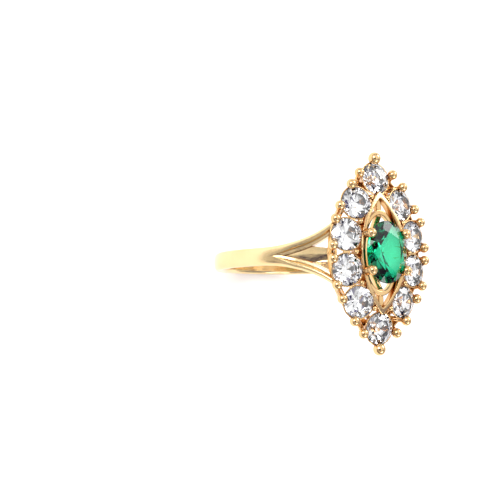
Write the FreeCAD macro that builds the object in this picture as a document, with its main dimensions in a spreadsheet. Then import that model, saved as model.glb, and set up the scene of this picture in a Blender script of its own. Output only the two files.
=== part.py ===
"""Cocktail ring: a split-shank gold ring with an oval green centre stone and a halo of ten brilliants.

Millimetres. Origin at the centre of the finger hole, +Z up through the centre stone,
+Y along the finger, +X across the shoulders.
"""
import FreeCAD
import Part
import Sketcher
import math
import os
import re

Vector = FreeCAD.Vector
Placement = FreeCAD.Placement
Rotation = FreeCAD.Rotation

# alias, value, what it is
SIZES = [
    ("bore_radius", 8.65, "finger hole, US size 7"),
    ("band_thickness", 1.25, "radial thickness of the round band"),
    ("band_width", 1.75, "width of the band at the palm"),
    ("flare_lead", 0.9, "how far inside the band's edge the shoulders begin to spread"),
    ("shoulder_spread", 5.58, "distance across a pair of arms at the gallery rail"),
    ("fork_blunt", 0.08, "width of the split where it begins"),
    ("arm_width", 1.05, "width of one arm of the split shoulder"),
    ("arm_tuck", 0.75, "how far the arms run in under the gallery rail"),
    ("arm_lip", 0.5, "depth of the arms' ends below the gallery rail"),
    ("sole_lead", 14.0, "degrees from the shoulder's start to where the arms leave the finger hole"),
    ("leaf_width", 1.7, "width of the leaf between the arms at its widest"),
    ("leaf_root", 1.1, "width of the leaf where it meets the gallery rail"),
    ("leaf_belly", 1.1, "distance from the gallery rail to the leaf's widest place"),
    ("leaf_recess", 0.45, "how far the leaf lies below the arms"),
    ("leaf_gap", 0.06, "groove between the leaf and each arm"),
    ("gallery_rise", 2.1, "top of the gallery rail above the finger"),
    ("gallery_height", 0.6, "height of the gallery rail"),
    ("gallery_wall", 0.5, "thickness of the gallery rail"),
    ("gallery_reach", 0.7, "gallery rail beyond the side stones' centres"),
    ("gallery_tip_reach", 0.45, "gallery rail beyond the tip stones' centres"),
    ("tip_foot_in", 0.45, "distance of the point claws' feet in from the gallery's pointed ends"),
    ("halo_stone", 3.0, "diameter of each round brilliant"),
    ("halo_gap", 0.34, "space between neighbouring brilliants"),
    ("halo_tip_gap", 0.68, "space between a tip brilliant and its neighbours"),
    ("halo_turn", 23.3, "degrees by which the row of brilliants bends towards the tip"),
    ("side_rise", 1.65, "girdle of the side brilliants above the gallery rail"),
    ("quarter_rise", 1.55, "girdle of the quarter brilliants above the gallery rail"),
    ("tip_rise", 1.15, "girdle of the tip brilliants above the gallery rail"),
    ("side_tilt", 13.5, "degrees the side and quarter brilliants lean outwards"),
    ("tip_tilt", 8.0, "degrees the tip brilliants lean outwards"),
    ("side_heading", 9.0, "degrees from +X that the side brilliants face in plan"),
    ("quarter_heading", 33.0, "degrees from +X that the quarter brilliants face in plan"),
    ("girdle", 0.08, "thickness of a brilliant's girdle"),
    ("collet_wall", 0.2, "collet wall outside the girdle"),
    ("collet_depth", 0.85, "depth of a collet below the girdle"),
    ("collet_foot", 1.3, "outer radius of a collet at its foot"),
    ("collet_eye", 0.8, "radius of the opening under a brilliant"),
    ("web_radius", 0.2, "half thickness of the bars that join the collets"),
    ("claw_ball", 0.5, "radius of the ball on a halo claw"),
    ("tip_ball", 0.62, "radius of the ball on a tip claw"),
    ("claw_stand", 0.34, "centre of a halo claw's ball outside the girdle"),
    ("claw_lift", 0.2, "centre of a halo claw's ball above the girdle"),
    ("claw_spread", 43.5, "degrees between a halo claw and the way its brilliant faces"),
    ("tip_claw_spread", 78.0, "the same for the side claws of a tip brilliant"),
    ("tip_claw_stand", 0.55, "the ball of a tip brilliant's side claw outside the girdle"),
    ("claw_neck", 0.27, "radius of a claw's leg under its ball"),
    ("claw_root", 0.25, "radius of a claw's leg where it meets the gallery rail"),
    ("fork_web", 0.24, "thickness of the web between the two legs of a fork"),
    ("fork_fill", 0.72, "share of the legs' length that the web fills"),
    ("bead", 0.27, "radius of the small beads between the brilliants"),
    ("center_length", 6.0, "length of the oval stone"),
    ("center_width", 4.7, "width of the oval stone"),
    ("center_rise", 2.6, "girdle of the oval stone above the gallery rail"),
    ("center_girdle", 0.12, "thickness of the oval stone's girdle"),
    ("center_crown", 0.75, "height of the oval stone's crown"),
    ("center_pavilion", 1.95, "depth of the oval stone's pavilion"),
    ("center_ball", 0.5, "radius of the ball on a centre claw"),
    ("center_leg", 0.42, "radius of a centre claw's leg"),
    ("center_claw_along", 1.76, "centre claws from the middle of the stone"),
    ("rail_clearance", 0.15, "inner rail outside the oval stone"),
    ("rail_wall", 0.42, "thickness of the inner rail"),
    ("rail_point", 0.45, "solid length of the inner rail at each point"),
    ("rail_height", 1.15, "height of the inner rail at the middle"),
    ("rail_drop", 0.3, "top of the inner rail below the oval stone's girdle"),
    ("rail_dome", 32.0, "radius of the inner rail's arched top"),
    ("oval_length", 8.3, "length of the oval gallery ring"),
    ("oval_width", 4.6, "width of the oval gallery ring"),
    ("oval_wall", 0.5, "thickness of the oval gallery ring"),
    ("oval_height", 0.55, "height of the oval gallery ring"),
    ("oval_drop", 0.9, "top of the oval gallery ring below the oval stone's girdle"),
    ("spine_width", 0.6, "width of the bar along the middle of the gallery"),
    ("spine_height", 0.5, "height of that bar"),
    ("spine_sink", 0.12, "top of that bar below the oval ring's top"),
    ("spine_dip", 1.55, "how far the bar dips to pass below the oval stone"),
    ("stone_clearance", 0.03, "space between a stone and the metal cut to it"),
]

TABLE = 0.56          # a brilliant's table, as a share of its width
CROWN_ANGLE = 34.0    # degrees, crown mains
STAR_ANGLE = 20.0     # degrees, star facets
BREAK_ANGLE = 40.0    # degrees, upper girdle facets
PAVILION_ANGLE = 41.0  # degrees, pavilion mains
LOWER_ANGLE = 42.6    # degrees, lower girdle facets

doc = FreeCAD.newDocument("CocktailRing")
sheet = doc.addObject("Spreadsheet::Sheet", "Sizes")
for row, (alias, value, note) in enumerate(SIZES, start=1):
    sheet.set("A%d" % row, note)
    sheet.set("B%d" % row, str(value))
    sheet.setAlias("B%d" % row, alias)
doc.recompute()


def size(alias):
    """The value of one named cell."""
    return float(sheet.get(alias))


def bound(formula):
    """A formula in the sheet's names, written as FreeCAD's expressions want it."""
    names = set(entry[0] for entry in SIZES)
    words = re.split(r"(\w+)", formula)
    return "".join("Sizes." + word if word in names else word for word in words)


def value_of(formula):
    """What a formula comes to now."""
    result = sheet.evalExpression(bound(formula))
    return float(getattr(result, "Value", result))


# Places that several pieces share, as formulas in the sheet's names.
OUTER = "( bore_radius + band_thickness )"
RAIL_HALF_WIDTH = "( center_width / 2 + rail_clearance )"
PITCH = "( halo_stone + halo_gap )"
SIDE_X = "( %s + halo_stone / 2 )" % RAIL_HALF_WIDTH
SIDE_Y = "( %s / 2 )" % PITCH
QUARTER_X = "( %s - %s * sin( halo_turn * 1 deg ) )" % (SIDE_X, PITCH)
QUARTER_Y = "( %s + %s * cos( halo_turn * 1 deg ) )" % (SIDE_Y, PITCH)
TIP_PITCH = "( halo_stone + halo_tip_gap )"
TIP_Y = "( %s + sqrt( %s ^ 2 - %s ^ 2 ) )" % (QUARTER_Y, TIP_PITCH, QUARTER_X)
RAIL_HALF_LENGTH = "( %s - halo_stone / 2 )" % TIP_Y
GALLERY_HALF_WIDTH = "( %s + gallery_reach )" % SIDE_X
GALLERY_HALF_LENGTH = "( %s + gallery_tip_reach )" % TIP_Y
GALLERY_TOP = "( bore_radius + gallery_rise )"
GALLERY_FLOOR = "( %s - gallery_height )" % GALLERY_TOP
CENTER_LEVEL = "( %s + center_rise )" % GALLERY_TOP


# ---------------------------------------------------------------- sketches and bodies

def new_body(label):
    """An empty body with its own name."""
    body = doc.addObject("PartDesign::Body", label)
    body.Label = label
    return body


def new_sketch(body, role, name, height=None):
    """A sketch on one of the body's own planes, lifted by a formula if one is given."""
    sketch = body.newObject("Sketcher::SketchObject", name)
    planes = [item for item in body.Origin.OriginFeatures if item.Role == role]
    sketch.AttachmentSupport = [(planes[0], "")]
    sketch.MapMode = "FlatFace"
    if height:
        sketch.setExpression("AttachmentOffset.Base.z", bound(height))
    return sketch


def pin_corner(sketch, place, end, corner, tag):
    """Hold one corner of an outline at its two formulas."""
    for axis, kind, formula in (("x", "DistanceX", corner[0]), ("y", "DistanceY", corner[1])):
        if formula == "0":
            line = -2 if axis == "x" else -1
            sketch.addConstraint(Sketcher.Constraint("PointOnObject", place, end, line))
            continue
        number = sketch.addConstraint(
            Sketcher.Constraint(kind, -1, 1, place, end, value_of(formula)))
        sketch.renameConstraint(number, tag + axis)
        sketch.setExpression("Constraints." + tag + axis, bound(formula))


def arc_between(start, finish, radius, side):
    """The shorter arc from start to finish; side is 1 with its centre on the left."""
    chord = finish - start
    left = Vector(-chord.y, chord.x, 0).normalize()
    rise = math.sqrt(radius ** 2 - (chord.Length / 2) ** 2)
    middle = (start + finish) / 2 + left * side * rise
    ends = (start, finish) if side > 0 else (finish, start)
    angles = [math.atan2(end.y - middle.y, end.x - middle.x) for end in ends]
    circle = Part.Circle(middle, Vector(0, 0, 1), radius)
    return Part.ArcOfCircle(circle, angles[0], angles[1])


def add_outline(sketch, corners, tag):
    """A closed outline. A corner is (x, y), or (x, y, radius, side) where an arc follows it."""
    points = [Vector(value_of(corner[0]), value_of(corner[1]), 0) for corner in corners]
    starts = []
    ends = []
    for index, corner in enumerate(corners):
        start = points[index]
        finish = points[(index + 1) % len(points)]
        if len(corner) == 2:
            place = sketch.addGeometry(Part.LineSegment(start, finish))
            starts.append((place, 1))
            ends.append((place, 2))
            continue
        place = sketch.addGeometry(arc_between(start, finish, value_of(corner[2]), corner[3]))
        starts.append((place, 1 if corner[3] > 0 else 2))
        ends.append((place, 2 if corner[3] > 0 else 1))
        number = sketch.addConstraint(
            Sketcher.Constraint("Radius", place, value_of(corner[2])))
        sketch.renameConstraint(number, "%s%dr" % (tag, index))
        sketch.setExpression("Constraints.%s%dr" % (tag, index), bound(corner[2]))
    for index, corner in enumerate(corners):
        before = ends[index - 1]
        after = starts[index]
        sketch.addConstraint(Sketcher.Constraint("Coincident", *before, *after))
        pin_corner(sketch, after[0], after[1], corner, "%s%d" % (tag, index))


def add_circle(sketch, radius, tag):
    """A circle about the sketch's origin."""
    circle = Part.Circle(Vector(0, 0, 0), Vector(0, 0, 1), value_of(radius))
    place = sketch.addGeometry(circle)
    sketch.addConstraint(Sketcher.Constraint("Coincident", place, 3, -1, 1))
    number = sketch.addConstraint(Sketcher.Constraint("Radius", place, value_of(radius)))
    sketch.renameConstraint(number, tag)
    sketch.setExpression("Constraints." + tag, bound(radius))


def add_ellipse(sketch, half_length, half_width, tag):
    """An ellipse about the sketch's origin with its long axis upright."""
    length = value_of(half_length)
    width = value_of(half_width)
    curve = Part.Ellipse(Vector(0, length, 0), Vector(-width, 0, 0), Vector(0, 0, 0))
    place = sketch.addGeometry(curve)
    sketch.exposeInternalGeometry(place)
    major = place + 1
    minor = place + 2
    sketch.addConstraint(Sketcher.Constraint("Coincident", place, 3, -1, 1))
    sketch.addConstraint(Sketcher.Constraint("Vertical", major))
    for line, formula, letter in ((major, half_length, "a"), (minor, half_width, "b")):
        number = sketch.addConstraint(
            Sketcher.Constraint("Distance", line, 2 * value_of(formula)))
        sketch.renameConstraint(number, tag + letter)
        sketch.setExpression("Constraints." + tag + letter, bound("2 * " + formula))


def pad(body, sketch, length, both_ways=False):
    """Raise a sketch, upwards or to both sides of it."""
    feature = body.newObject("PartDesign::Pad", sketch.Name + "Pad")
    feature.Profile = sketch
    if both_ways:
        feature.Midplane = True
    feature.setExpression("Length", bound(length))
    return feature


def cut_through(body, sketch, upwards):
    """Cut a sketch right through the body on one side of it."""
    feature = body.newObject("PartDesign::Pocket", sketch.Name + "Pocket")
    feature.Profile = sketch
    feature.Type = "ThroughAll"
    feature.Reversed = upwards
    return feature


def navette_radius(half_width, half_length):
    """Radius of each side of a pointed oval."""
    return "( ( %s ^ 2 + %s ^ 2 ) / ( 2 * %s ) )" % (half_width, half_length, half_width)


def add_navette(sketch, half_width, half_length, tag):
    """A pointed oval with its points up and down."""
    radius = navette_radius(half_width, half_length)
    add_outline(sketch, [
        ("0", "-1 * " + half_length, radius, 1),
        ("0", half_length, radius, 1),
    ], tag)


def cut_by(label, base, tools):
    """A named piece: base with its neighbours' shapes taken out of it."""
    trimmed = base
    for number, tool in enumerate(tools, start=1):
        step = doc.addObject("Part::Cut", "%s_cut%d" % (label, number))
        step.Base = trimmed
        step.Tool = tool
        trimmed = step
    trimmed.Label = label
    base.Label = label + "_blank"
    return trimmed


# ---------------------------------------------------------------- gallery and rails

def make_gallery_rail():
    """The lower rail that follows the halo's outline and stands on the shoulders."""
    body = new_body("gallery_rail_blank")
    sketch = new_sketch(body, "XY_Plane", "GalleryPlan", GALLERY_FLOOR)
    add_navette(sketch, GALLERY_HALF_WIDTH, GALLERY_HALF_LENGTH, "outer")
    pad(body, sketch, "gallery_height")
    eye = new_sketch(body, "XY_Plane", "GalleryEye", GALLERY_FLOOR)
    add_navette(eye, "( %s - gallery_wall )" % GALLERY_HALF_WIDTH,
                "( %s - 2 * gallery_wall )" % GALLERY_HALF_LENGTH, "inner")
    cut_through(body, eye, True)
    return body


def make_inner_rail():
    """The thin pointed rail inside the halo, arched along its length."""
    body = new_body("inner_rail_blank")
    floor = "( %s - rail_drop - rail_height )" % CENTER_LEVEL
    sketch = new_sketch(body, "XY_Plane", "RailPlan", floor)
    add_navette(sketch, "( %s + rail_wall / 2 )" % RAIL_HALF_WIDTH,
                "( %s + rail_wall / 2 )" % RAIL_HALF_LENGTH, "outer")
    pad(body, sketch, "rail_height")
    eye = new_sketch(body, "XY_Plane", "RailEye", floor)
    add_navette(eye, "( %s - rail_wall / 2 )" % RAIL_HALF_WIDTH,
                "( %s - rail_point )" % RAIL_HALF_LENGTH, "inner")
    cut_through(body, eye, True)
    dome = doc.addObject("Part::Cylinder", "RailDome")
    dome.setExpression("Radius", bound("rail_dome"))
    dome.setExpression("Height", bound("4 * center_width"))
    dome.Placement = Placement(Vector(0, 0, 0), Rotation(Vector(0, 1, 0), 90))
    dome.setExpression("Placement.Base.x", bound("-2 * center_width"))
    dome.setExpression("Placement.Base.z", bound("%s - rail_drop - rail_dome" % CENTER_LEVEL))
    arched = doc.addObject("Part::Common", "RailArched")
    arched.Base = body
    arched.Tool = dome
    return arched


def make_oval_ring():
    """The oval gallery ring below the centre stone."""
    body = new_body("oval_ring_blank")
    floor = "( %s - oval_drop - oval_height )" % CENTER_LEVEL
    sketch = new_sketch(body, "XY_Plane", "OvalPlan", floor)
    add_ellipse(sketch, "( oval_length / 2 )", "( oval_width / 2 )", "outer")
    pad(body, sketch, "oval_height")
    eye = new_sketch(body, "XY_Plane", "OvalEye", floor)
    add_ellipse(eye, "( oval_length / 2 - oval_wall )", "( oval_width / 2 - oval_wall )", "inner")
    cut_through(body, eye, True)
    return body


def make_spine():
    """The bar along the middle of the gallery, which dips to pass below the centre stone."""
    body = new_body("spine_blank")
    top = "( %s - oval_drop - spine_sink )" % CENTER_LEVEL
    reach = "( %s - rail_wall )" % RAIL_HALF_LENGTH
    shoulder = "( oval_length / 2 - oval_wall )"
    knee = "( center_length / 5 )"
    sketch = new_sketch(body, "YZ_Plane", "SpineSide")
    low = "( %s - spine_dip )" % top
    add_outline(sketch, [
        ("-1 * " + reach, top + " - spine_height"),
        ("-1 * " + shoulder, top + " - spine_height"),
        ("-1 * " + knee, low + " - spine_height"),
        (knee, low + " - spine_height"),
        (shoulder, top + " - spine_height"),
        (reach, top + " - spine_height"),
        (reach, top),
        ("( %s - spine_height / 4 )" % shoulder, top),
        ("( %s - spine_height / 4 )" % knee, low),
        ("-1 * ( %s - spine_height / 4 )" % knee, low),
        ("-1 * ( %s - spine_height / 4 )" % shoulder, top),
        ("-1 * " + reach, top),
    ], "bar")
    pad(body, sketch, "spine_width", both_ways=True)
    return body


# ---------------------------------------------------------------- shank and shoulders

# The shoulder's upper face runs straight from the gallery rail's top edge and meets the round
# band as a tangent, at LEAVE degrees from the finger hole's top.
RAIL_EDGE = "( %s - gallery_wall / 2 )" % GALLERY_HALF_WIDTH
EDGE_REACH = "sqrt( %s ^ 2 + %s ^ 2 )" % (RAIL_EDGE, GALLERY_TOP)
LEAVE = "( atan( %s / %s ) + acos( %s / %s ) )" % (RAIL_EDGE, GALLERY_TOP, OUTER, EDGE_REACH)
LEAVE_X = "( %s * sin( %s ) )" % (OUTER, LEAVE)
LEAVE_Z = "( %s * cos( %s ) )" % (OUTER, LEAVE)
FLARE_X = "( %s - flare_lead )" % OUTER
ARM_END = "( %s - arm_tuck )" % GALLERY_HALF_WIDTH
FLARE_RUN = "( %s - %s )" % (FLARE_X, GALLERY_HALF_WIDTH)
FLARE_OUT = "( shoulder_spread / 2 - band_width / 2 )"
FLARE_RADIUS = "( ( %s ^ 2 + %s ^ 2 ) / ( 2 * %s ) )" % (FLARE_RUN, FLARE_OUT, FLARE_OUT)
FLARE_Y = "( band_width / 2 + %s )" % FLARE_RADIUS
INNER_RADIUS = "( %s + arm_width )" % FLARE_RADIUS
FORK_X = "( %s - sqrt( max( 0 ; %s ^ 2 - ( %s - fork_blunt / 2 ) ^ 2 ) ) )" % (
    FLARE_X, INNER_RADIUS, FLARE_Y)
FAR = "( 2 * %s )" % OUTER
SOLE = "( %s - sole_lead * 1 deg )" % LEAVE
ARM_SOLE_X = "( bore_radius * sin( %s ) )" % SOLE
ARM_SOLE_Z = "( bore_radius * cos( %s ) )" % SOLE
ARM_LIP_Z = "( %s - arm_lip )" % GALLERY_FLOOR


def flare_at(radius, place):
    """Distance from the middle plane of a spreading curve at one place along X."""
    return "( %s - sqrt( %s ^ 2 - ( %s - %s ) ^ 2 ) )" % (FLARE_Y, radius, FLARE_X, place)


def make_shank():
    """The band with its two pairs of spreading shoulder arms."""
    body = new_body("shank_blank")
    side = new_sketch(body, "XZ_Plane", "ShankSide")
    add_outline(side, [
        ("-1 * " + LEAVE_X, LEAVE_Z, OUTER, 1),
        ("0", "-1 * " + OUTER, OUTER, 1),
        (LEAVE_X, LEAVE_Z),
        (RAIL_EDGE, GALLERY_TOP),
        ("-1 * " + RAIL_EDGE, GALLERY_TOP),
    ], "out")
    add_circle(side, "bore_radius", "bore")
    pad(body, side, "( 4 * %s )" % GALLERY_HALF_WIDTH, both_ways=True)

    half = "( band_width / 2 )"
    outer_end = flare_at(FLARE_RADIUS, ARM_END)
    plan = new_sketch(body, "XY_Plane", "FlarePlan")
    for tag, sx, sy in (("a", 1, 1), ("b", -1, 1), ("c", -1, -1), ("d", 1, -1)):
        signs = ("%d * " % sx, "%d * " % sy)
        add_outline(plan, [
            (signs[0] + FAR, signs[1] + half),
            (signs[0] + FLARE_X, signs[1] + half, FLARE_RADIUS, -sx * sy),
            (signs[0] + ARM_END, signs[1] + outer_end),
            (signs[0] + ARM_END, signs[1] + FAR),
            (signs[0] + FAR, signs[1] + FAR),
        ], tag)
    cut_through(body, plan, True)

    middle = new_sketch(body, "XZ_Plane", "HeadOpening")
    add_outline(middle, [
        ("-1 * " + ARM_SOLE_X, ARM_SOLE_Z),
        (ARM_SOLE_X, ARM_SOLE_Z),
        (ARM_END, ARM_LIP_Z),
        (ARM_END, FAR),
        ("-1 * " + ARM_END, FAR),
        ("-1 * " + ARM_END, ARM_LIP_Z),
    ], "mid")
    cut_through(body, middle, False).Midplane = True

    inner_end = flare_at(INNER_RADIUS, "( %s - arm_tuck )" % ARM_END)
    fork_y = flare_at(INNER_RADIUS, FORK_X)
    opening = new_sketch(body, "XY_Plane", "ForkPlan")
    for tag, sx in (("r", 1), ("l", -1)):
        sign = "%d * " % sx
        add_outline(opening, [
            (sign + FORK_X, "-1 * " + fork_y),
            (sign + FORK_X, fork_y, INNER_RADIUS, -sx),
            (sign + "( %s - arm_tuck )" % ARM_END, inner_end),
            (sign + "( %s - arm_tuck )" % ARM_END, "-1 * " + inner_end, INNER_RADIUS, -sx),
        ], tag)
    cut_through(body, opening, True)

    palm = new_sketch(body, "XY_Plane", "PalmPlan")
    for tag, sy in (("u", 1), ("v", -1)):
        sign = "%d * " % sy
        add_outline(palm, [
            ("-1 * " + FAR, sign + half),
            (FAR, sign + half),
            (FAR, sign + FAR),
            ("-1 * " + FAR, sign + FAR),
        ], tag)
    cut_through(body, palm, False)
    return body


def make_leaf(label, sx):
    """The leaf that lies a little below the arms, from the fork to the gallery rail."""
    body = new_body(label + "_blank")
    sign = "%d * " % sx
    side = new_sketch(body, "XZ_Plane", label + "Side")
    lowered_edge = "( %s - leaf_recess / cos( %s ) )" % (GALLERY_TOP, LEAVE)
    tip_x = "( %s * sin( %s ) )" % ("bore_radius", LEAVE)
    tip_z = "( %s * cos( %s ) )" % ("bore_radius", LEAVE)
    lead = "( ( %s - %s ) * tan( %s ) )" % (RAIL_EDGE, ARM_END, LEAVE)
    add_outline(side, [
        (sign + tip_x, tip_z),
        (sign + "( %s - leaf_recess * sin( %s ) )" % (LEAVE_X, LEAVE),
         "( %s - leaf_recess * cos( %s ) )" % (LEAVE_Z, LEAVE)),
        (sign + ARM_END, "( %s + %s )" % (lowered_edge, lead)),
        (sign + ARM_END, ARM_LIP_Z),
        (sign + ARM_SOLE_X, ARM_SOLE_Z, "bore_radius", -sx),
    ], "leaf")
    pad(body, side, "( 2 * leaf_width )", both_ways=True)

    belly_x = "( %s + leaf_belly )" % GALLERY_HALF_WIDTH
    plan = new_sketch(body, "XY_Plane", label + "Plan")
    for tag, sy in (("u", 1), ("v", -1)):
        other = "%d * " % sy
        add_outline(plan, [
            (sign + FAR, other + "leaf_gap"),
            (sign + FORK_X, other + "leaf_gap"),
            (sign + belly_x, other + "leaf_width / 2"),
            (sign + GALLERY_HALF_WIDTH, other + "leaf_root / 2"),
            (sign + "( %s - arm_tuck )" % ARM_END, other + "leaf_root / 2"),
            (sign + "( %s - arm_tuck )" % ARM_END, other + FAR),
            (sign + FAR, other + FAR),
        ], tag)
    cut_through(body, plan, True)
    return body


# ---------------------------------------------------------------- stones

def cut_facets(gem, half_x, half_y, share, level, slope, count, start):
    """Cut a ring of flat facets. Each passes at share of the girdle's size at one level."""
    for index in range(count):
        turn = math.radians(start + index * 360.0 / count)
        place = Vector(share * half_x * math.cos(turn), share * half_y * math.sin(turn), level)
        normal = Vector(math.cos(turn) / half_x, math.sin(turn) / half_y, 1.0 / slope)
        block = Part.makeBox(20, 20, 20, Vector(-10, -10, 0))
        block.Placement = Placement(place, Rotation(Vector(0, 0, 1), normal))
        gem = gem.cut(block)
    return gem


def cut_gem(width, length, crown, pavilion, girdle):
    """A 57-facet brilliant about its girdle's middle; long axis along Y."""
    half_x = width / 2
    half_y = length / 2
    edge = Part.Ellipse(Vector(0, 0, 0), half_y, half_x) if length > width else None
    if edge:
        edge.rotate(Placement(Vector(0, 0, 0), Rotation(Vector(0, 0, 1), 90)))
        outline = Part.Wire(edge.toShape())
    else:
        outline = Part.Wire(Part.Circle(Vector(0, 0, 0), Vector(0, 0, 1), half_x).toShape())
    face = Part.Face(outline)
    face.translate(Vector(0, 0, -pavilion - girdle / 2))
    gem = face.extrude(Vector(0, 0, pavilion + girdle + crown))
    upper = girdle / 2
    main = crown / (1 - TABLE)
    star = main * math.tan(math.radians(STAR_ANGLE)) / math.tan(math.radians(CROWN_ANGLE))
    rim = main * math.tan(math.radians(BREAK_ANGLE)) / math.tan(math.radians(CROWN_ANGLE))
    deep = math.tan(math.radians(LOWER_ANGLE)) / math.tan(math.radians(PAVILION_ANGLE))
    gem = cut_facets(gem, half_x, half_y, 1, upper, main, 8, 0)
    gem = cut_facets(gem, half_x, half_y, 1, upper, rim, 16, 11.25)
    table_edge = TABLE * math.cos(math.radians(22.5))
    gem = cut_facets(gem, half_x, half_y, table_edge, upper + crown, star, 8, 22.5)
    gem = cut_facets(gem, half_x, half_y, 1, -upper, -pavilion, 8, 0)
    gem = cut_facets(gem, half_x, half_y, 1, -upper, -pavilion * deep, 16, 11.25)
    return gem


def round_seat(diameter, crown, pavilion, girdle, clearance):
    """The smooth space that a round brilliant fills, with a clearance, for cutting metal to it."""
    radius = diameter / 2 + clearance
    upper = girdle / 2 + clearance
    table = TABLE * 1.08 * radius
    down = Vector(0, 0, -1)
    below = Part.makeCone(radius, 0, 1.03 * pavilion, Vector(0, 0, -upper), down)
    middle = Part.makeCylinder(radius, 2 * upper, Vector(0, 0, -upper))
    above = Part.makeCone(radius, table, crown + clearance, Vector(0, 0, upper))
    return below.fuse([middle, above])


def oval_seat(width, length, crown, pavilion, girdle, clearance):
    """The same for the oval stone."""
    spread = 1 + 2 * clearance / width
    upper = girdle / 2 + clearance
    levels = (
        (0.01, -upper - 1.03 * pavilion),
        (spread, -upper),
        (spread, upper),
        (TABLE * 1.08, upper + crown + clearance),
    )
    rings = []
    for share, level in levels:
        oval = Part.Ellipse(Vector(0, 0, level), share * length / 2, share * width / 2)
        oval.rotate(Placement(Vector(0, 0, 0), Rotation(Vector(0, 0, 1), 90)))
        rings.append(Part.Wire(oval.toShape()))
    return Part.makeLoft(rings, True, True)


def halo_crown():
    """Height of a halo brilliant's crown."""
    return (1 - TABLE) * size("halo_stone") / 2 * math.tan(math.radians(CROWN_ANGLE))


def halo_pavilion():
    """Depth of a halo brilliant's pavilion."""
    return size("halo_stone") / 2 * math.tan(math.radians(PAVILION_ANGLE))


def stone_place(x, y, level, tilt, heading):
    """A stone's own frame: +Z is its axis, which leans the way that +X heads."""
    turn = Rotation(Vector(0, 0, 1), heading)
    lean = Rotation(Vector(0, 1, 0), tilt)
    return Placement(Vector(x, y, level), turn.multiply(lean))


# The halo's brilliants in order, clockwise from the back tip: kind, side along X, side along Y.
HALO = [
    ("tip", 0, 1), ("quarter", 1, 1), ("side", 1, 1), ("side", 1, -1), ("quarter", 1, -1),
    ("tip", 0, -1), ("quarter", -1, -1), ("side", -1, -1), ("side", -1, 1), ("quarter", -1, 1),
]


def where(side_x, side_y):
    """Words for a place on the head."""
    hand = {1: "_right", 0: "", -1: "_left"}[side_x]
    end = {1: "_back", 0: "_middle", -1: "_front"}[side_y]
    return hand + end


def halo_place(kind, side_x, side_y):
    """The frame of one brilliant."""
    x = {"tip": "0", "quarter": QUARTER_X, "side": SIDE_X}[kind]
    y = {"tip": TIP_Y, "quarter": QUARTER_Y, "side": SIDE_Y}[kind]
    level = value_of(GALLERY_TOP) + size(kind + "_rise")
    if kind == "tip":
        return stone_place(0, side_y * value_of(y), level, size("tip_tilt"), side_y * 90)
    heading = size(kind + "_heading")
    heading = heading if side_x > 0 else 180 - heading
    return stone_place(side_x * value_of(x), side_y * value_of(y), level,
                       size("side_tilt"), side_y * heading)


def make_solid(label, shape):
    """A named piece whose shape is worked out from the sheet's values."""
    piece = doc.addObject("Part::Feature", label)
    piece.Shape = shape
    piece.Label = label
    return piece


def make_halo_stones():
    """Ten round brilliants, all cut alike."""
    gem = cut_gem(size("halo_stone"), size("halo_stone"), halo_crown(), halo_pavilion(),
                  size("girdle"))
    stones = []
    for kind, side_x, side_y in HALO:
        stone = make_solid(kind + "_stone" + where(side_x, side_y), gem)
        stone.Placement = halo_place(kind, side_x, side_y)
        stones.append(stone)
    return stones


def make_center_stone():
    """The oval stone."""
    gem = cut_gem(size("center_width"), size("center_length"), size("center_crown"),
                  size("center_pavilion"), size("center_girdle"))
    stone = make_solid("center_stone", gem)
    stone.Placement = Placement(Vector(0, 0, value_of(CENTER_LEVEL)), Rotation())
    return stone


def halo_seats():
    """The spaces that the halo's brilliants fill."""
    seat = round_seat(size("halo_stone"), halo_crown(), halo_pavilion(), size("girdle"),
                      size("stone_clearance"))
    seats = []
    for kind, side_x, side_y in HALO:
        place = halo_place(kind, side_x, side_y)
        moved = seat.copy()
        moved.Placement = place.multiply(seat.Placement)
        seats.append(moved)
    return seats


def center_seat():
    """The space that the oval stone fills."""
    seat = oval_seat(size("center_width"), size("center_length"), size("center_crown"),
                     size("center_pavilion"), size("center_girdle"), size("stone_clearance"))
    seat.translate(Vector(0, 0, value_of(CENTER_LEVEL)))
    return seat


# ---------------------------------------------------------------- claws

def leg(start, finish, start_radius, finish_radius):
    """A straight tapered wire between two points."""
    run = finish - start
    if abs(start_radius - finish_radius) < 1e-6:
        return Part.makeCylinder(start_radius, run.Length, start, run)
    return Part.makeCone(start_radius, finish_radius, run.Length, start, run)


def ball_at(point, radius):
    """A ball about a point."""
    return Part.makeSphere(radius, point)


def claw_point(place, angle, stand):
    """Where a claw's ball sits beside one brilliant."""
    reach = size("halo_stone") / 2 + stand
    turn = math.radians(angle)
    local = Vector(reach * math.cos(turn), reach * math.sin(turn), size("claw_lift"))
    return place.multVec(local)


def root_below(points):
    """The place on top of the gallery rail, half way through its wall, below some balls."""
    middle = Vector(0, 0, 0)
    for point in points:
        middle = middle + point / len(points)
    width = value_of(GALLERY_HALF_WIDTH) - size("gallery_wall") / 2
    length = value_of(GALLERY_HALF_LENGTH) - size("gallery_wall")
    radius = (width ** 2 + length ** 2) / (2 * width)
    side = 1 if middle.x > 0 else -1
    center = Vector(side * (width - radius), 0, 0)
    level = value_of(GALLERY_TOP) - size("gallery_height") / 2
    if abs(middle.x) < 0.01:
        end = 1 if middle.y > 0 else -1
        return Vector(0, end * (length - size("tip_foot_in")), level)
    outward = Vector(middle.x, middle.y, 0) - center
    root = center + outward.normalize() * radius
    root.z = level
    return root


def claw(root, point, radius):
    """One leg with its ball."""
    wire = leg(root, point, size("claw_root"), size("claw_neck"))
    return wire.fuse(ball_at(point, radius))


def web_between(root, first, second):
    """The thin three-cornered web low down between the legs of a fork."""
    near = root + (first - root) * size("fork_fill")
    far = root + (second - root) * size("fork_fill")
    across = (first - root).cross(second - root).normalize() * size("fork_web")
    corners = [point - across / 2 for point in (root, near, far)]
    return Part.Face(Part.makePolygon(corners + corners[:1])).extrude(across)


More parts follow.
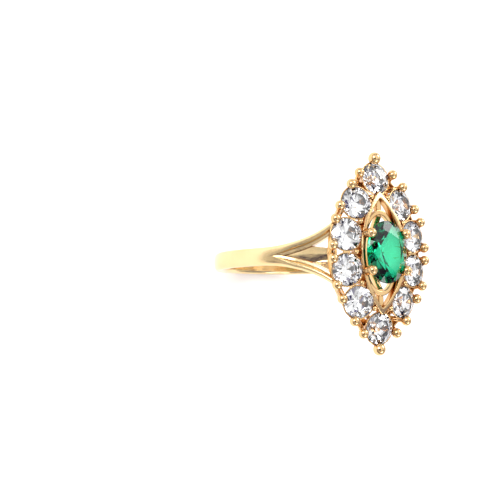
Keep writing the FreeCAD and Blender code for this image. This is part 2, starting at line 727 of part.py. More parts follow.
def make_halo_claws(seats):
    """Forks of two claws between neighbouring brilliants, and a single claw at each tip.

    The forks on the left are the mirror images of those on the right.
    """
    pieces = []
    for index, (kind, side_x, side_y) in enumerate(HALO):
        after_kind, after_x, after_y = HALO[(index + 1) % len(HALO)]
        stand = size("tip_claw_stand") if kind == "tip" else size("claw_stand")
        spread = size("tip_claw_spread") if kind == "tip" else size("claw_spread")
        first = claw_point(halo_place(kind, side_x, side_y), -spread, stand)
        stand = size("tip_claw_stand") if after_kind == "tip" else size("claw_stand")
        spread = size("tip_claw_spread") if after_kind == "tip" else size("claw_spread")
        second = claw_point(halo_place(after_kind, after_x, after_y), spread, stand)
        if (side_x or after_x) < 0:
            continue
        root = root_below([first, second])
        fork = claw(root, first, size("claw_ball")).fuse(claw(root, second, size("claw_ball")))
        fork = fork.fuse([ball_at(root, size("claw_root")), web_between(root, first, second)])
        fork = largest(fork.cut(seats).removeSplitter())
        rank = "side" if kind == after_kind else "quarter"
        rank = "tip" if "tip" in (kind, after_kind) else rank
        end = side_y if side_y == after_y else 0
        pieces.append(make_solid("%s_claws%s" % (rank, where(1, end)), fork))
        mirrored = fork.mirror(Vector(0, 0, 0), Vector(1, 0, 0))
        pieces.append(make_solid("%s_claws%s" % (rank, where(-1, end)), mirrored))
    for side_y in (1, -1):
        place = halo_place("tip", 0, side_y)
        reach = size("halo_stone") / 2 + size("claw_stand") + size("tip_ball") - size("claw_ball")
        point = place.multVec(Vector(reach, 0, size("claw_lift")))
        single = claw(root_below([point]), point, size("tip_ball"))
        single = single.fuse(ball_at(root_below([point]), size("claw_root")))
        label = "point_claw" + where(0, side_y)
        pieces.append(make_solid(label, largest(single.cut(seats).removeSplitter())))
    return pieces


def make_center_claws(seat):
    """Four upright claws that rise from the inner rail and fold over the oval stone."""
    along = size("center_claw_along")
    half_x = size("center_width") / 2
    half_y = size("center_length") / 2
    edge = half_x * math.sqrt(1 - (along / half_y) ** 2) + size("rail_clearance")
    level = value_of(CENTER_LEVEL)
    foot_level = level - size("rail_drop") - size("rail_height")
    claws = []
    for side_x, side_y in ((1, 1), (1, -1), (-1, -1), (-1, 1)):
        foot = Vector(side_x * edge, side_y * along, foot_level)
        head = Vector(side_x * edge, side_y * along, level + size("center_ball") * 0.75)
        one = leg(foot, head, size("center_leg"), size("center_leg"))
        one = one.fuse(ball_at(head, size("center_ball")))
        claws.append(one.cut(seat).removeSplitter())
    return make_solid("center_claws", Part.makeCompound(claws))


# ---------------------------------------------------------------- halo frame and beads

def largest(shape):
    """The main solid of a cut shape, without the crumbs a cut can leave."""
    return max(shape.Solids, key=lambda solid: solid.Volume)


def between(index):
    """The frames of one brilliant and the next."""
    kind, side_x, side_y = HALO[index]
    after_kind, after_x, after_y = HALO[(index + 1) % len(HALO)]
    return halo_place(kind, side_x, side_y), halo_place(after_kind, after_x, after_y)


def make_beads(seats, rail_shape):
    """Small beads on posts between neighbouring brilliants, next to the inner rail."""
    beads = []
    for index in range(len(HALO)):
        here, there = between(index)
        middle = (here.Base + there.Base) / 2
        axis = (here.multVec(Vector(0, 0, 1)) + there.multVec(Vector(0, 0, 1))) / 2 - middle
        inward = ((here.multVec(Vector(-1, 0, 0)) + there.multVec(Vector(-1, 0, 0))) / 2) - middle
        reach = size("halo_stone") * 0.3
        top = middle + inward * reach + axis * size("claw_lift")
        foot = top - axis * size("collet_depth")
        post = leg(foot, top, size("bead") * 0.7, size("bead") * 0.7)
        bead = post.fuse(ball_at(top, size("bead"))).cut(seats + [rail_shape])
        beads.append(largest(bead.removeSplitter()))
    return make_solid("inner_beads", Part.makeCompound(beads))


def make_halo_frame(seats, cutters):
    """Ten collets joined by short bars into one ring."""
    radius = size("halo_stone") / 2
    blank = None
    for index, (kind, side_x, side_y) in enumerate(HALO):
        place = halo_place(kind, side_x, side_y)
        cone = Part.makeCone(size("collet_foot"), radius + size("collet_wall"),
                             size("collet_depth"), Vector(0, 0, -size("collet_depth")))
        cone.Placement = place
        here, there = between(index)
        start = here.multVec(Vector(0, 0, -size("collet_depth") * 0.6))
        finish = there.multVec(Vector(0, 0, -size("collet_depth") * 0.6))
        bar = leg(start, finish, size("web_radius"), size("web_radius"))
        block = cone.fuse(bar)
        blank = block if blank is None else blank.fuse(block)
    holes = []
    for kind, side_x, side_y in HALO:
        eye = Part.makeCylinder(size("collet_eye"), 2 * size("collet_depth"),
                                Vector(0, 0, -1.5 * size("collet_depth")))
        eye.Placement = halo_place(kind, side_x, side_y)
        holes.append(eye)
    frame = blank.cut(seats + holes)
    frame = frame.cut(cutters)
    return make_solid("halo_frame", largest(frame.removeSplitter()))


# ---------------------------------------------------------------- the whole ring

def build():
    """Every piece, trimmed to its neighbours."""
    rail = make_gallery_rail()
    inner = make_inner_rail()
    oval = make_oval_ring()
    spine = make_spine()
    shank = make_shank()
    leaves = [("shoulder_leaf_right", make_leaf("shoulder_leaf_right", 1)),
              ("shoulder_leaf_left", make_leaf("shoulder_leaf_left", -1))]
    doc.recompute()
    seats = halo_seats()
    seat_block = make_solid("halo_seats", Part.makeCompound(seats))
    stones = make_halo_stones() + [make_center_stone()]
    claws = make_halo_claws(seats)
    all_claws = doc.addObject("Part::Compound", "AllClaws")
    all_claws.Links = claws
    center_claws = make_center_claws(center_seat())
    inner_rail = cut_by("inner_rail", inner, [center_claws, seat_block])
    bar = cut_by("gallery_spine", spine, [inner_rail])
    oval_ring = cut_by("oval_ring", oval, [inner_rail, center_claws, bar])
    band = cut_by("shank", shank, [rail, all_claws])
    gallery = cut_by("gallery_rail", rail, [all_claws, seat_block])
    tongues = [cut_by(label, leaf, [rail, shank, all_claws]) for label, leaf in leaves]
    doc.recompute()
    beads = make_beads(seats, inner_rail.Shape)
    cutters = [piece.Shape for piece in claws] + [inner_rail.Shape, beads.Shape,
                                                  center_claws.Shape]
    frame = make_halo_frame(seats, cutters)
    return (stones + claws + tongues
            + [center_claws, inner_rail, oval_ring, bar, band, beads, frame, gallery])


def check(pieces):
    """Stop if anything failed to build."""
    for item in doc.Objects:
        if "Invalid" in item.State or "Error" in item.State:
            raise RuntimeError("%s failed to build" % item.Label)
    for piece in pieces:
        if piece.Shape.isNull() or not piece.Shape.isValid() or not piece.Shape.Solids:
            raise RuntimeError("%s has no sound shape" % piece.Label)


pieces = build()
check(pieces)
os.makedirs("parts", exist_ok=True)
for piece in pieces:
    piece.Shape.exportStep("parts/%s.step" % piece.Label)
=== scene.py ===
import bmesh
import bpy
import math
from mathutils import Matrix, Vector


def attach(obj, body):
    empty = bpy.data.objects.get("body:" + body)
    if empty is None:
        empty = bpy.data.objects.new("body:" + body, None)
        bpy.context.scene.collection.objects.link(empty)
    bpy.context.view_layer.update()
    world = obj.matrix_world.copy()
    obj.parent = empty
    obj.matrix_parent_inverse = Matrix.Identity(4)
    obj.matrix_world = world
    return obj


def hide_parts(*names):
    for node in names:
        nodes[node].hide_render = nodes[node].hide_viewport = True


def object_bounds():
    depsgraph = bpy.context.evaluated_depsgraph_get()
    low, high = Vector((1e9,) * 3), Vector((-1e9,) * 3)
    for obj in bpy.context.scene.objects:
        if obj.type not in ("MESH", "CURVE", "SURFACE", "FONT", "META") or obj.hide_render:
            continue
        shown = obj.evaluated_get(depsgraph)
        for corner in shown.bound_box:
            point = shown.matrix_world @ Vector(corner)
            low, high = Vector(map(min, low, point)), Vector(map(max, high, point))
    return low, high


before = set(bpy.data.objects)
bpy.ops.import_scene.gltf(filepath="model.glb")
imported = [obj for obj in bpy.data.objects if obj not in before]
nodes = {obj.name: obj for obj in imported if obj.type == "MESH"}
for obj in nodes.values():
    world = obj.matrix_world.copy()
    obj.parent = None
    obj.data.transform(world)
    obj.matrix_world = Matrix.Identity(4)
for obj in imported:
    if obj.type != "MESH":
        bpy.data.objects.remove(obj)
cad_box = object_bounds()
MM = 0.001


# ---------------------------------------------------------------- the shot
# The ring stands on its palm side with the finger hole level. The camera looks down on the
# head from the left shoulder, with the head's long axis upright in the picture.

TO_CAMERA = (-0.52128, -0.07629, 0.84997)


def place_camera():
    data = bpy.data.cameras.new("studio_camera")
    data.sensor_width = 36.0
    data.lens = 79.2
    camera = bpy.data.objects.new("studio_camera", data)
    bpy.context.scene.collection.objects.link(camera)
    back = Vector(TO_CAMERA).normalized()
    right = Vector((0, 1, 0)).cross(back).normalized()
    up = back.cross(right)
    level = Matrix((right, up, back)).transposed()
    roll = Matrix.Rotation(math.radians(-1.0), 3, "Z")
    place = (level @ roll).to_4x4()
    place.translation = Vector((-65.777, -7.568, 95.673)) * MM
    camera.matrix_world = place
    data.clip_start = 1 * MM
    data.clip_end = 10
    bpy.context.scene.camera = camera


place_camera()
bpy.context.scene.view_settings.view_transform = "Standard"


# A white light panel lies under the ring, inside a white tent. The tent has a few grey panels and a
# round opening for the lens, which polished gold and facets mirror as darker patches.

def lay_card():
    mesh = bpy.data.meshes.new("white_card")
    half = 0.6
    low = cad_box[0][2]
    corners = [(-half, -half, low), (half, -half, low), (half, half, low), (-half, half, low)]
    mesh.from_pydata(corners, [], [(0, 1, 2, 3)])
    card = bpy.data.objects.new("white_card", mesh)
    bpy.context.scene.collection.objects.link(card)
    paper = bpy.data.materials.new("white_paper")
    paper.use_nodes = True
    shader = paper.node_tree.nodes["Principled BSDF"]
    shader.inputs["Base Color"].default_value = (0.93, 0.93, 0.93, 1)
    shader.inputs["Roughness"].default_value = 0.9
    shader.inputs["Specular IOR Level"].default_value = 0.1
    shader.inputs["Emission Color"].default_value = (1, 1, 1, 1)
    shader.inputs["Emission Strength"].default_value = 0.3
    mesh.materials.append(paper)


def raise_tent():
    tent = bpy.data.worlds.new("white_tent")
    bpy.context.scene.world = tent
    tent.use_nodes = True
    tree = tent.node_tree
    tree.nodes.clear()
    link = tree.links.new
    out = tree.nodes.new("ShaderNodeOutputWorld")
    glow = tree.nodes.new("ShaderNodeBackground")
    way = tree.nodes.new("ShaderNodeTexCoord")
    split = tree.nodes.new("ShaderNodeSeparateXYZ")
    link(way.outputs["Generated"], split.inputs[0])
    height = tree.nodes.new("ShaderNodeValToRGB")
    link(split.outputs["Z"], height.inputs[0])
    stops = height.color_ramp
    stops.elements[0].color = (0.85, 0.85, 0.85, 1)
    stops.elements[1].color = (1.2, 1.2, 1.2, 1)
    for position, grey in ((0.14, 0.8), (0.3, 0.75), (0.5, 1.05)):
        stop = stops.elements.new(position)
        stop.color = (grey, grey, grey, 1)
    panels = tree.nodes.new("ShaderNodeTexNoise")
    panels.inputs["Scale"].default_value = 3.4
    panels.inputs["Detail"].default_value = 1.0
    link(way.outputs["Generated"], panels.inputs["Vector"])
    grade = tree.nodes.new("ShaderNodeValToRGB")
    grade.color_ramp.elements[0].position = 0.38
    grade.color_ramp.elements[0].color = (0.13, 0.11, 0.24, 1)
    grade.color_ramp.elements[1].position = 0.44
    grade.color_ramp.elements[1].color = (1.0, 1.0, 1.0, 1)
    link(panels.outputs["Fac"], grade.inputs[0])
    aim = tree.nodes.new("ShaderNodeVectorMath")
    aim.operation = "DOT_PRODUCT"
    aim.inputs[1].default_value = TO_CAMERA
    link(way.outputs["Generated"], aim.inputs[0])
    opening = tree.nodes.new("ShaderNodeMapRange")
    opening.inputs["From Min"].default_value = math.cos(math.radians(23))
    opening.inputs["From Max"].default_value = math.cos(math.radians(17))
    opening.inputs["To Min"].default_value = 1.0
    opening.inputs["To Max"].default_value = 0.06
    link(aim.outputs["Value"], opening.inputs["Value"])
    fall = tree.nodes.new("ShaderNodeMapRange")
    fall.inputs["From Min"].default_value = -0.9
    fall.inputs["From Max"].default_value = 0.3
    fall.inputs["To Min"].default_value = 0.6
    fall.inputs["To Max"].default_value = 1.1
    link(split.outputs["Y"], fall.inputs["Value"])
    both = tree.nodes.new("ShaderNodeMath")
    both.operation = "MULTIPLY"
    link(opening.outputs["Result"], both.inputs[0])
    link(fall.outputs["Result"], both.inputs[1])
    patched = tree.nodes.new("ShaderNodeMix")
    patched.data_type = "RGBA"
    patched.blend_type = "MULTIPLY"
    patched.inputs["Factor"].default_value = 1.0
    link(height.outputs["Color"], patched.inputs["A"])
    link(grade.outputs["Color"], patched.inputs["B"])
    holed = tree.nodes.new("ShaderNodeVectorMath")
    holed.operation = "SCALE"
    link(patched.outputs["Result"], holed.inputs[0])
    link(both.outputs[0], holed.inputs["Scale"])
    seen = tree.nodes.new("ShaderNodeLightPath")
    plain = tree.nodes.new("ShaderNodeMix")
    plain.data_type = "RGBA"
    plain.inputs["B"].default_value = (1.1, 1.1, 1.1, 1)
    link(seen.outputs["Is Camera Ray"], plain.inputs["Factor"])
    link(holed.outputs[0], plain.inputs["A"])
    link(plain.outputs["Result"], glow.inputs["Color"])
    glow.inputs["Strength"].default_value = 0.97
    link(glow.outputs[0], out.inputs[0])


def hang_softbox(name, place, size, power):
    data = bpy.data.lights.new(name, "AREA")
    data.shape = "RECTANGLE"
    data.size = size[0]
    data.size_y = size[1]
    data.energy = power
    lamp = bpy.data.objects.new(name, data)
    bpy.context.scene.collection.objects.link(lamp)
    lamp.location = place
    lamp.rotation_euler = (-Vector(place)).to_track_quat("-Z", "Y").to_euler()


lay_card()
raise_tent()
hang_softbox("softbox_left", (-0.26, 0.14, 0.22), (0.16, 0.16), 0.45)
hang_softbox("softbox_right", (0.24, 0.2, 0.2), (0.18, 0.18), 0.45)
hang_softbox("softbox_front", (0.1, -0.3, 0.24), (0.2, 0.14), 0.4)


# ---------------------------------------------------------------- the shank
# The band and its split shoulders are cast in yellow gold, then filed and polished. The palm
# has a low dome outside. Each shoulder opens in a V whose arms carry a raised outer rib.

def make_gold_finish():
    """Tone that drifts over a casting, with painted shade darkening its recesses, and the fine
    marks of the polishing wheel.
    """
    group = bpy.data.node_groups.new("polished_gold", "ShaderNodeTree")
    face = group.interface
    for name, kind, value in (
            ("Light Tone", "NodeSocketColor", (1.0, 0.80, 0.45, 1)),
            ("Deep Tone", "NodeSocketColor", (0.95, 0.66, 0.30, 1)),
            ("Polish", "NodeSocketFloat", 0.12),
            ("Wheel Marks", "NodeSocketFloat", 0.02)):
        socket = face.new_socket(name=name, in_out="INPUT", socket_type=kind)
        socket.default_value = value
    face.new_socket(name="Tone", in_out="OUTPUT", socket_type="NodeSocketColor")
    face.new_socket(name="Roughness", in_out="OUTPUT", socket_type="NodeSocketFloat")
    face.new_socket(name="Height", in_out="OUTPUT", socket_type="NodeSocketFloat")
    link = group.links.new
    start = group.nodes.new("NodeGroupInput")
    end = group.nodes.new("NodeGroupOutput")
    place = group.nodes.new("ShaderNodeTexCoord")
    drift = group.nodes.new("ShaderNodeTexNoise")
    drift.inputs["Scale"].default_value = 420
    drift.inputs["Detail"].default_value = 3
    link(place.outputs["Object"], drift.inputs["Vector"])
    tone = group.nodes.new("ShaderNodeMix")
    tone.data_type = "RGBA"
    link(drift.outputs["Fac"], tone.inputs["Factor"])
    link(start.outputs["Light Tone"], tone.inputs["A"])
    link(start.outputs["Deep Tone"], tone.inputs["B"])
    # Painted shade: where ambient occlusion finds a recess, the colour runs to a deep orange-brown.
    # It stands in for the shade there and for the gold mirroring itself.
    occlusion_mask = group.nodes.new("ShaderNodeAmbientOcclusion")
    occlusion_mask.samples = 8
    occlusion_mask.inputs["Distance"].default_value = 0.0007
    shade = group.nodes.new("ShaderNodeMapRange")
    shade.inputs["From Min"].default_value = 0.25
    shade.inputs["From Max"].default_value = 0.9
    link(occlusion_mask.outputs["AO"], shade.inputs["Value"])
    painted_recess_shade = group.nodes.new("ShaderNodeMix")
    painted_recess_shade.data_type = "RGBA"
    painted_recess_shade.inputs["A"].default_value = (0.46, 0.19, 0.05, 1)
    link(shade.outputs["Result"], painted_recess_shade.inputs["Factor"])
    link(tone.outputs["Result"], painted_recess_shade.inputs["B"])
    link(painted_recess_shade.outputs["Result"], end.inputs["Tone"])
    haze = group.nodes.new("ShaderNodeTexNoise")
    haze.inputs["Scale"].default_value = 1500
    haze.inputs["Detail"].default_value = 3
    link(place.outputs["Object"], haze.inputs["Vector"])
    spread = group.nodes.new("ShaderNodeMapRange")
    spread.inputs["To Min"].default_value = 0.6
    spread.inputs["To Max"].default_value = 1.5
    link(haze.outputs["Fac"], spread.inputs["Value"])
    rough = group.nodes.new("ShaderNodeMath")
    rough.operation = "MULTIPLY"
    link(spread.outputs["Result"], rough.inputs[0])
    link(start.outputs["Polish"], rough.inputs[1])
    link(rough.outputs[0], end.inputs["Roughness"])
    stretch = group.nodes.new("ShaderNodeMapping")
    stretch.inputs["Scale"].default_value = (0.7, 9.0, 0.7)
    stretch.inputs["Rotation"].default_value = (0.2, 0.15, 0.3)
    link(place.outputs["Object"], stretch.inputs["Vector"])
    lines = group.nodes.new("ShaderNodeTexNoise")
    lines.inputs["Scale"].default_value = 2400
    lines.inputs["Detail"].default_value = 4
    link(stretch.outputs["Vector"], lines.inputs["Vector"])
    depth = group.nodes.new("ShaderNodeMath")
    depth.operation = "MULTIPLY"
    link(lines.outputs["Fac"], depth.inputs[0])
    link(start.outputs["Wheel Marks"], depth.inputs[1])
    link(depth.outputs[0], end.inputs["Height"])
    return group


gold_finish = make_gold_finish()


def mix_gold(name, light_tone, deep_tone, polish, marks):
    gold = bpy.data.materials.new(name)
    gold.use_nodes = True
    tree = gold.node_tree
    shader = tree.nodes["Principled BSDF"]
    shader.inputs["Metallic"].default_value = 1.0
    finish = tree.nodes.new("ShaderNodeGroup")
    finish.node_tree = gold_finish
    finish.inputs["Light Tone"].default_value = (*light_tone, 1)
    finish.inputs["Deep Tone"].default_value = (*deep_tone, 1)
    finish.inputs["Polish"].default_value = polish
    finish.inputs["Wheel Marks"].default_value = marks
    bump = tree.nodes.new("ShaderNodeBump")
    bump.inputs["Strength"].default_value = 0.5
    bump.inputs["Distance"].default_value = 0.00002
    tree.links.new(finish.outputs["Tone"], shader.inputs["Base Color"])
    tree.links.new(finish.outputs["Roughness"], shader.inputs["Roughness"])
    tree.links.new(finish.outputs["Height"], bump.inputs["Height"])
    tree.links.new(bump.outputs["Normal"], shader.inputs["Normal"])
    return gold


band_gold = mix_gold("band_gold", (0.95, 0.75, 0.43), (0.87, 0.61, 0.29), 0.13, 0.7)

OUTSIDE = 9.9
THICKNESS = 1.25
HALF_BAND = 0.875
HALF_SPREAD = 3.0
ARM_WIDTH = 1.05
RAIL_TOP = Vector((4.45, 10.75))
LEAVE = math.atan2(RAIL_TOP.x, RAIL_TOP.y) + math.acos(OUTSIDE / RAIL_TOP.length)
LEAVE_AT = Vector((OUTSIDE * math.sin(LEAVE), OUTSIDE * math.cos(LEAVE)))
RISE = (RAIL_TOP.y - LEAVE_AT.y) / (LEAVE_AT.x - RAIL_TOP.x)
FLARE_FROM = 9.0
FLARE_BEND = 5.785


def half_spread(x, z):
    """Half the distance across the shoulders at this place of the profile."""
    if z < 0 or x > FLARE_FROM:
        return HALF_BAND
    run = FLARE_FROM - x
    return min(HALF_SPREAD, HALF_BAND + FLARE_BEND - math.sqrt(FLARE_BEND ** 2 - run ** 2))


def profile_stations():
    """Places along the outside, palm first, as (x, z, outward x, outward z, thickness)."""
    places = []
    for index in range(43):
        turn = math.pi + (LEAVE - math.pi) * index / 42
        places.append((OUTSIDE * math.sin(turn), OUTSIDE * math.cos(turn),
                       math.sin(turn), math.cos(turn), THICKNESS))
    finish = Vector((4.1, RAIL_TOP.y + 0.35 * RISE))
    out = Vector((math.sin(LEAVE), math.cos(LEAVE)))
    for index in range(1, 41):
        share = index / 40
        spot = LEAVE_AT.lerp(finish, share)
        places.append((spot.x, spot.y, out.x, out.y, THICKNESS - 0.17 * share))
    return places


def ease(value, low, high):
    share = min(1.0, max(0.0, (value - low) / (high - low)))
    return share * share * (3 - 2 * share)


def shank_section(x, z, thickness):
    """One half of the section across the band, from the middle outwards, as (y, depth)."""
    outer = half_spread(x, z)
    shoulder = z > 0 and x < FLARE_FROM
    inner = max(0.0, outer - ARM_WIDTH) if shoulder else 0.0
    opened = ease(8.3 - x, 0.0, 1.6) if shoulder else 0.0
    rib = max(inner, (outer - 0.66 - 0.24 * (1 - opened)) if shoulder else 0.0, 0.0)
    crest = rib + (outer - rib) * (0.45 * opened)
    dome = 0.40 - 0.12 * opened
    ledge = 0.30 * opened
    points = []
    points.append((inner, thickness))
    points.append((inner, 0.5 * thickness))
    points.append((inner, ledge + 0.06 * opened))
    points.append((inner + 0.3 * (rib - inner), ledge))
    points.append((inner + 0.9 * (rib - inner), ledge))
    for index in range(7):
        share = 1 - index / 6
        drop = dome * (1 - math.sqrt(1 - (0.95 * share) ** 2)) * opened
        points.append((crest - (crest - rib) * share, drop))
    for index in range(1, 11):
        share = index / 10
        drop = dome * (1 - math.sqrt(1 - (0.97 * share) ** 2))
        points.append((crest + (outer - crest) * share, drop))
    tuck = 0.05 + 0.16 * opened
    points.append((outer - tuck * 0.3, 0.62 * thickness))
    points.append((outer - tuck, 0.9 * thickness))
    points.append((outer - tuck - 0.14, thickness))
    points.append(((inner + outer) / 2, thickness))
    return points


def forge_shank():
    whole = bmesh.new()
    right = profile_stations()
    left = [(-x, z, -ox, oz, t) for x, z, ox, oz, t in reversed(right)]
    stations = left + right[1:]
    for side in (1, -1):
        half = bmesh.new()
        rings = []
        for x, z, out_x, out_z, thickness in stations:
            ring = []
            for y, depth in shank_section(abs(x), z, thickness):
                height = min(z - out_z * depth, 10.70)
                ring.append(half.verts.new(
                    Vector((x - out_x * depth, side * y, height)) * MM))
            rings.append(ring)
        count = len(rings[0])
        for first, second in zip(rings, rings[1:]):
            for index in range(count):
                after = (index + 1) % count
                corners = (first[index], first[after], second[after], second[index])
                half.faces.new(corners)
        half.faces.new(rings[0])
        half.faces.new(rings[-1])
        bmesh.ops.remove_doubles(half, verts=half.verts[:], dist=2e-6)
        bmesh.ops.dissolve_degenerate(half, edges=half.edges[:], dist=1e-7)
        bmesh.ops.recalc_face_normals(half, faces=half.faces[:])
        part = bpy.data.meshes.new("half")
        half.to_mesh(part)
        half.free()
        whole.from_mesh(part)
        bpy.data.meshes.remove(part)
    for face in whole.faces:
        face.smooth = True
    mesh = bpy.data.meshes.new("shank_casting")
    whole.to_mesh(mesh)
    whole.free()
    mesh.set_sharp_from_angle(angle=math.radians(48))
    shank = bpy.data.objects.new("shank_casting", mesh)
    bpy.context.scene.collection.objects.link(shank)
    mesh.materials.append(band_gold)
    return shank


shank = forge_shank()
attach(shank, "root")
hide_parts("shank")


# ---------------------------------------------------------------- the shoulder leaves
# A leaf lies in the fork of each shoulder, a little below the arms. It is gold, cast with the
# shoulder, with a soft ridge along its middle, and it widens towards the gallery.

def leaf_half_width(x):
    if x > 5.9:
        return 0.03 + 0.82 * (7.5 - x) / 1.6
    if x > 4.8:
        return 0.55 + 0.30 * (x - 4.8) / 1.1
    return 0.55


def forge_leaf(name, side):
    leaf = bmesh.new()
    out = Vector((math.sin(LEAVE), math.cos(LEAVE)))
    rings = []
    for index in range(31):
        x = 7.5 - 3.1 * index / 30
        z = LEAVE_AT.y + (LEAVE_AT.x - x) * RISE
        wide = leaf_half_width(x)
        ridge = 0.16 * ease(7.5 - x, 0, 1.2)
        ring = []
        for share, depth in ((-0.8, 1.0), (-0.96, 0.66), (-1.0, 0.5), (-0.86, 0.45), (-0.5, 0.40),
                             (-0.08, 0.43 - ridge), (0.08, 0.43 - ridge), (0.5, 0.40),
                             (0.86, 0.45), (1.0, 0.5), (0.96, 0.66), (0.8, 1.0)):
            ring.append(leaf.verts.new(Vector((
                side * (x - out.x * depth), wide * share, min(z - out.y * depth, 10.6))) * MM))
        rings.append(ring)
    count = len(rings[0])
    for first, second in zip(rings, rings[1:]):
        for index in range(count):
            after = (index + 1) % count
            leaf.faces.new((first[index], first[after], second[after], second[index]))
    leaf.faces.new(rings[0])
    leaf.faces.new(rings[-1])
    bmesh.ops.recalc_face_normals(leaf, faces=leaf.faces[:])
    for face in leaf.faces:
        face.smooth = True
    mesh = bpy.data.meshes.new(name)
    leaf.to_mesh(mesh)
    leaf.free()
    mesh.set_sharp_from_angle(angle=math.radians(50))
    mesh.materials.append(band_gold)
    piece = bpy.data.objects.new(name, mesh)
    bpy.context.scene.collection.objects.link(piece)
    return piece


for name, side in (("left", -1), ("right", 1)):
    leaf = forge_leaf("leaf_" + name, side)
    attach(leaf, "root")
    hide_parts("shoulder_leaf_" + name)


# ---------------------------------------------------------------- the gallery and the rails
# The lower rail, the rail round the oval stone, the oval ring and the bar below it are gold
# castings soldered together. Their edges are rounded by filing and polishing.

# The setting's tones are darker and more orange than the band's: painted shade for the parts that
# sit down in the head among the stones.
shaded_setting_gold = mix_gold("shaded_setting_gold", (0.89, 0.64, 0.34), (0.79, 0.49, 0.21), 0.11, 0.4)


def melt(node, material, grain, passes):
    """Cast look: the solids of one casting run into each other with soft corners."""
    thing = nodes[node]
    thing.data.materials.clear()
    thing.data.materials.append(material)
    cast = thing.modifiers.new("casting", "REMESH")
    cast.mode = "VOXEL"
    cast.voxel_size = grain * MM
    cast.use_smooth_shade = True
    soft = thing.modifiers.new("tumbled", "SMOOTH")
    soft.factor = 0.5
    soft.iterations = passes


melt("gallery_rail", shaded_setting_gold, 0.06, 3)
melt("inner_rail", shaded_setting_gold, 0.045, 9)
melt("oval_ring", shaded_setting_gold, 0.045, 8)
melt("gallery_spine", shaded_setting_gold, 0.045, 8)


# ---------------------------------------------------------------- the halo frame
# Ten open collets, one below each brilliant, joined by short bars, with a small gold bead
# raised between neighbouring stones. Cast in gold in one piece with the beads.

melt("halo_frame", shaded_setting_gold, 0.055, 2)
melt("inner_beads", shaded_setting_gold, 0.04, 2)


# ---------------------------------------------------------------- the claws
# Gold wires soldered to the gallery, two to a fork, each with its end melted into a ball that
# holds a stone's edge.

for node in nodes:
    if "claw" in node:
        melt(node, shaded_setting_gold, 0.045, 2)


# ---------------------------------------------------------------- the brilliants
# Ten round white stones in the full brilliant cut of 57 facets, with polished facets and a
# finely ground girdle.

def make_cut_finish():
    """Polished facets and a frosted girdle, from the height above the girdle's middle, and a colour
    that darkens from the heart tone to a painted rim shade.
    """
    group = bpy.data.node_groups.new("cut_stone", "ShaderNodeTree")
    face = group.interface
    for name, value in (("Half Width", 0.0015), ("Half Length", 0.0015), ("Half Girdle", 0.00004),
                        ("Polish", 0.0), ("Ground", 0.3)):
        socket = face.new_socket(name=name, in_out="INPUT", socket_type="NodeSocketFloat")
        socket.default_value = value
    for name in ("Heart Tone", "Painted Rim Shade"):
        face.new_socket(name=name, in_out="INPUT", socket_type="NodeSocketColor")
    face.new_socket(name="Tone", in_out="OUTPUT", socket_type="NodeSocketColor")
    face.new_socket(name="Roughness", in_out="OUTPUT", socket_type="NodeSocketFloat")
    link = group.links.new
    start = group.nodes.new("NodeGroupInput")
    end = group.nodes.new("NodeGroupOutput")
    place = group.nodes.new("ShaderNodeTexCoord")
    split = group.nodes.new("ShaderNodeSeparateXYZ")
    link(place.outputs["Object"], split.inputs[0])
    away = group.nodes.new("ShaderNodeMath")
    away.operation = "ABSOLUTE"
    link(split.outputs["Z"], away.inputs[0])
    within = group.nodes.new("ShaderNodeMath")
    within.operation = "LESS_THAN"
    link(away.outputs[0], within.inputs[0])
    link(start.outputs["Half Girdle"], within.inputs[1])
    rough = group.nodes.new("ShaderNodeMapRange")
    link(within.outputs[0], rough.inputs["Value"])
    link(start.outputs["Polish"], rough.inputs["To Min"])
    link(start.outputs["Ground"], rough.inputs["To Max"])
    link(rough.outputs["Result"], end.inputs["Roughness"])
    reach = group.nodes.new("ShaderNodeCombineXYZ")
    for axis, across in (("X", "Half Width"), ("Y", "Half Length")):
        part = group.nodes.new("ShaderNodeMath")
        part.operation = "DIVIDE"
        link(split.outputs[axis], part.inputs[0])
        link(start.outputs[across], part.inputs[1])
        link(part.outputs[0], reach.inputs[axis])
    radius = group.nodes.new("ShaderNodeVectorMath")
    radius.operation = "LENGTH"
    link(reach.outputs[0], radius.inputs[0])
    # Painted shade: the colour darkens from the heart towards the rim, standing in for the dark
    # extinction of the rim facets.
    rim_shade_mask = group.nodes.new("ShaderNodeMapRange")
    rim_shade_mask.interpolation_type = "SMOOTHSTEP"
    rim_shade_mask.inputs["From Min"].default_value = 0.35
    rim_shade_mask.inputs["From Max"].default_value = 0.95
    link(radius.outputs["Value"], rim_shade_mask.inputs["Value"])
    tone = group.nodes.new("ShaderNodeMix")
    tone.data_type = "RGBA"
    link(rim_shade_mask.outputs["Result"], tone.inputs["Factor"])
    link(start.outputs["Heart Tone"], tone.inputs["A"])
    link(start.outputs["Painted Rim Shade"], tone.inputs["B"])
    link(tone.outputs["Result"], end.inputs["Tone"])
    return group


cut_finish = make_cut_finish()


def grow_stone(name, heart, rim, bend, half_size, half_girdle):
    stone = bpy.data.materials.new(name)
    stone.use_nodes = True
    tree = stone.node_tree
    shader = tree.nodes["Principled BSDF"]
    shader.inputs["Transmission Weight"].default_value = 1.0
    shader.inputs["IOR"].default_value = bend
    finish = tree.nodes.new("ShaderNodeGroup")
    finish.node_tree = cut_finish
    finish.inputs["Heart Tone"].default_value = (*heart, 1)
    finish.inputs["Painted Rim Shade"].default_value = (*rim, 1)
    finish.inputs["Half Width"].default_value = half_size[0] * MM
    finish.inputs["Half Length"].default_value = half_size[1] * MM
    finish.inputs["Half Girdle"].default_value = half_girdle * MM
    tree.links.new(finish.outputs["Tone"], shader.inputs["Base Color"])
    tree.links.new(finish.outputs["Roughness"], shader.inputs["Roughness"])
    return stone


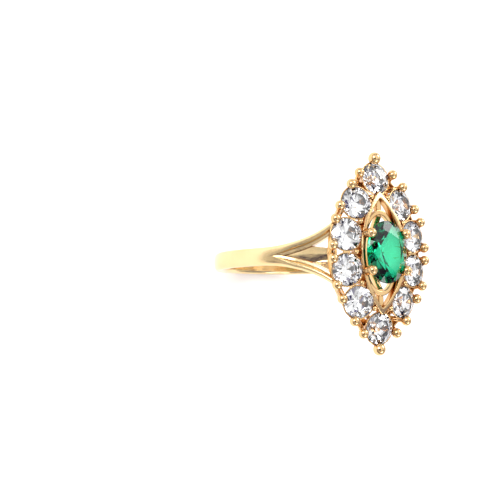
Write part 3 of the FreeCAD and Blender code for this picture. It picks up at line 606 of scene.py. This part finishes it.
def cut_stone(name, width, length, crown, pavilion, girdle, place, material):
    """Grind a blank to the brilliant cut, one facet plane after another."""
    table = 0.56
    main = crown / (1 - table)
    star = main * math.tan(math.radians(20)) / math.tan(math.radians(34))
    rim = main * math.tan(math.radians(40)) / math.tan(math.radians(34))
    deep = pavilion * math.tan(math.radians(42.6)) / math.tan(math.radians(41))
    edge = girdle / 2
    blank = bmesh.new()
    bmesh.ops.create_cone(blank, cap_ends=True, segments=96, radius1=1, radius2=1,
                          depth=pavilion + girdle + crown)
    for point in blank.verts:
        point.co = Vector((point.co.x * width / 2, point.co.y * length / 2,
                           point.co.z + (crown - pavilion) / 2))
    rows = (
        (1, edge, main, 8, 0),
        (1, edge, rim, 16, 11.25),
        (table * math.cos(math.radians(22.5)), edge + crown, star, 8, 22.5),
        (1, -edge, -pavilion, 8, 0),
        (1, -edge, -deep, 16, 11.25),
    )
    for share, level, slope, count, first in rows:
        for index in range(count):
            turn = math.radians(first + index * 360 / count)
            spot = Vector((share * width / 2 * math.cos(turn),
                           share * length / 2 * math.sin(turn), level))
            away = Vector((math.cos(turn) / (width / 2), math.sin(turn) / (length / 2),
                           1 / slope)).normalized()
            ground = bmesh.ops.bisect_plane(
                blank, geom=blank.verts[:] + blank.edges[:] + blank.faces[:], dist=1e-5,
                plane_co=spot, plane_no=away, clear_outer=True)
            rim_edges = [part for part in ground["geom_cut"]
                         if isinstance(part, bmesh.types.BMEdge) and part.is_boundary]
            if len(rim_edges) > 2:
                bmesh.ops.edgeloop_fill(blank, edges=rim_edges)
    bmesh.ops.recalc_face_normals(blank, faces=blank.faces[:])
    mesh = bpy.data.meshes.new(name)
    blank.to_mesh(mesh)
    blank.free()
    mesh.transform(Matrix.Scale(MM, 4))
    mesh.materials.append(material)
    stone = bpy.data.objects.new(name, mesh)
    bpy.context.scene.collection.objects.link(stone)
    stone.matrix_world = place
    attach(stone, "root")
    return stone


BRILLIANT = {"width": 3.0, "length": 3.0, "crown": 0.445, "pavilion": 1.304, "girdle": 0.08}

# Their colour turns a touch darker and bluer towards the rim: a faint painted shade.
clear_stone = grow_stone("clear_brilliant", (1, 1, 1), (0.97, 0.98, 1.0), 2.3, (1.5, 1.5), 0.04)

for kind, x, y, z, tilt, heading in (
        ("side", 4.0, 1.67, 12.40, 13.5, 9), ("quarter", 2.679, 4.738, 12.30, 13.5, 33)):
    for column, side_x in (("left", -1), ("right", 1)):
        for row, side_y in (("back", 1), ("front", -1)):
            way = math.atan2(side_y * math.sin(math.radians(heading)),
                             side_x * math.cos(math.radians(heading)))
            place = (Matrix.Translation(Vector((side_x * x, side_y * y, z)) * MM)
                     @ Matrix.Rotation(way, 4, "Z")
                     @ Matrix.Rotation(math.radians(tilt), 4, "Y"))
            name = "%s_stone_%s_%s" % (kind, column, row)
            stone = cut_stone("cut_" + name, place=place, material=clear_stone, **BRILLIANT)
            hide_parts(name)
for row, side_y in (("back", 1), ("front", -1)):
    place = (Matrix.Translation(Vector((0, side_y * 7.261, 11.90)) * MM)
             @ Matrix.Rotation(math.radians(90 * side_y), 4, "Z")
             @ Matrix.Rotation(math.radians(8), 4, "Y"))
    stone = cut_stone("cut_tip_stone_" + row, place=place, material=clear_stone, **BRILLIANT)
    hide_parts("tip_stone_" + row)


# ---------------------------------------------------------------- the centre stone
# One oval green stone in a brilliant cut, held by four claws, with its table level.

# The bright heart and the deep rim are painted light and shade over the stone's green: the rim
# stands in for the dark extinction of its facets.
green_stone = grow_stone("green_beryl", (0.03, 0.60, 0.30), (0.0, 0.24, 0.105), 1.58,
                         (2.35, 3.0), 0.06)
oval = cut_stone("cut_center_stone", 4.7, 6.0, 0.75, 1.95, 0.12,
                 Matrix.Translation(Vector((0, 0, 13.35)) * MM), green_stone)
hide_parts("center_stone")
